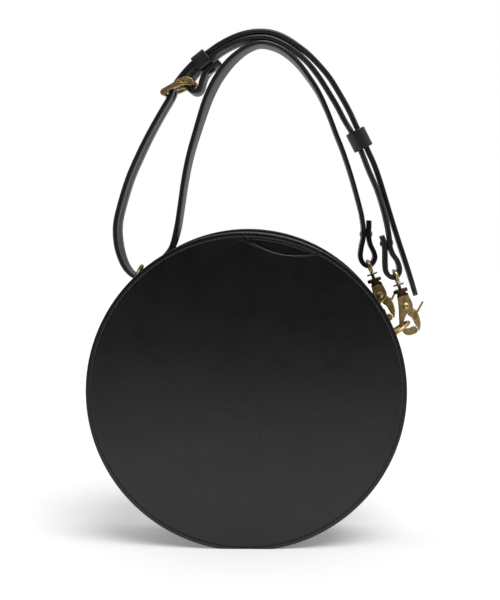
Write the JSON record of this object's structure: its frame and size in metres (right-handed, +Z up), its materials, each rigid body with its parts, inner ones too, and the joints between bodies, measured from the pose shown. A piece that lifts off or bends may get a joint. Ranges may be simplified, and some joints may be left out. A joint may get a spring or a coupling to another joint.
{
  "type": "circle bag",
  "caption": "Round stiffened leather handbag on rim flats, zipped gusset, wide looped strap with prong buckle, D-rings and sprung gate hooks.",
  "frame": {"origin": "middle of the footprint box, on the ground", "axes": "+Z up, -Y towards the viewer of the front face, +X to the viewer's right, hooks on +X"},
  "size_m": [0.2326, 0.075, 0.3581],
  "materials": {
    "black_leather": "smooth, semi-gloss, fine grain",
    "strap_leather": "smooth outside, greyer inside, dark sealed edges",
    "lining": "plain cotton",
    "zip_tape": "woven",
    "antique_brass": "aged, satin, dark in the recesses",
    "dark_brass": "aged, dark"
  },
  "bodies": {
    "bag": {"pocket_panel": "black_leather", "front_panel": "black_leather", "rear_panel": "black_leather", "gusset": "black_leather", "zip_strip_front": "black_leather", "zip_strip_rear": "black_leather", "zip_tape_front": "zip_tape", "zip_tape_rear": "zip_tape", "zip_teeth_front": "antique_brass", "zip_teeth_rear": "antique_brass", "zip_stops": "antique_brass", "lining_front": "lining", "lining_rear": "lining", "lining_gusset": "lining", "left_tab": "strap_leather", "right_front_tab": "strap_leather", "right_rear_tab": "strap_leather", "tab_rivets": "antique_brass"},
    "slider": {"zip_slider": "antique_brass"},
    "pull": {"zip_pull": "antique_brass"},
    "left_ring": {"left_ring": "antique_brass"},
    "right_front_ring": {"right_front_ring": "antique_brass"},
    "right_rear_ring": {"right_rear_ring": "antique_brass"},
    "strap": {"long_strap": "strap_leather", "short_strap": "strap_leather", "fixed_keeper": "strap_leather", "buckle_rivet": "dark_brass", "rear_loop_rivet": "dark_brass", "front_loop_rivet": "dark_brass", "rear_hook_eye": "antique_brass", "front_hook_eye": "antique_brass"},
    "keeper": {"sliding_keeper": "strap_leather"},
    "frame": {"buckle_frame": "antique_brass"},
    "prong": {"buckle_prong": "antique_brass"},
    "rear_hook": {"rear_hook_body": "antique_brass", "rear_hook_rivet": "dark_brass", "rear_hook_spring": "dark_brass"},
    "rear_gate": {"rear_hook_gate": "antique_brass"},
    "front_hook": {"front_hook_body": "antique_brass", "front_hook_rivet": "dark_brass", "front_hook_spring": "dark_brass"},
    "front_gate": {"front_hook_gate": "antique_brass"}
  },
  "joints": [
    {"name": "zip_slider_run", "type": "hinge", "parent": "bag", "child": "slider", "pos_m": [-0.00632, 0, 0.1084], "axis": [0, 1, 0], "range_deg": [-70, 0]},
    {"name": "zip_pull_flip", "type": "hinge", "parent": "slider", "child": "pull", "pos_m": [0.06801, 0, 0.18171], "axis": [0, -1, 0], "range_deg": [0, 165]},
    {"name": "left_ring_sway", "type": "hinge", "parent": "bag", "child": "left_ring", "pos_m": [-0.08669, 0, 0.18025], "axis": [0, 1, 0], "range_deg": [-4, 4]},
    {"name": "right_front_ring_sway", "type": "hinge", "parent": "bag", "child": "right_front_ring", "pos_m": [0.09431, -0.016, 0.14703], "axis": [0, 1, 0], "range_deg": [-4, 4]},
    {"name": "right_rear_ring_sway", "type": "hinge", "parent": "bag", "child": "right_rear_ring", "pos_m": [0.09431, 0.016, 0.14703], "axis": [0, 1, 0], "range_deg": [-4, 4]},
    {"name": "strap_swing", "type": "hinge", "parent": "bag", "child": "strap", "pos_m": [0.00801, 0, 0.17419], "axis": [0.9843, 0, -0.1766], "range_deg": [-1, 4]},
    {"name": "keeper_slide", "type": "slide", "parent": "strap", "child": "keeper", "axis": [0.4524, 0, -0.8918], "range_m": [-0.0025, 0.0025]},
    {"name": "buckle_frame_tilt", "type": "hinge", "parent": "strap", "child": "frame", "pos_m": [-0.04335, 0, 0.31956], "axis": [0.1316, 0.9848, -0.1132], "range_deg": [-2, 4]},
    {"name": "buckle_prong_lift", "type": "hinge", "parent": "frame", "child": "prong", "pos_m": [-0.04335, 0, 0.31956], "axis": [0.1316, 0.9848, -0.1132], "range_deg": [0, 12]},
    {"name": "rear_hook_swivel", "type": "hinge", "parent": "strap", "child": "rear_hook", "pos_m": [0.07891, 0.016, 0.19695], "axis": [-0.3387, 0, 0.9409], "range_deg": [-14, 14]},
    {"name": "rear_gate_open", "type": "hinge", "parent": "rear_hook", "child": "rear_gate", "pos_m": [0.08814, 0.016, 0.17201], "axis": [0, -1, 0], "range_deg": [0, 25], "stiffness_Nm_per_rad": 0.01, "springref_deg": -20.05},
    {"name": "front_hook_swivel", "type": "hinge", "parent": "strap", "child": "front_hook", "pos_m": [0.09562, -0.016, 0.19182], "axis": [-0.299, 0, 0.9542], "range_deg": [-14, 14]},
    {"name": "front_gate_open", "type": "hinge", "parent": "front_hook", "child": "front_gate", "pos_m": [0.1038, -0.016, 0.1665], "axis": [0, -1, 0], "range_deg": [0, 25], "stiffness_Nm_per_rad": 0.01, "springref_deg": -20.05}
  ]
}
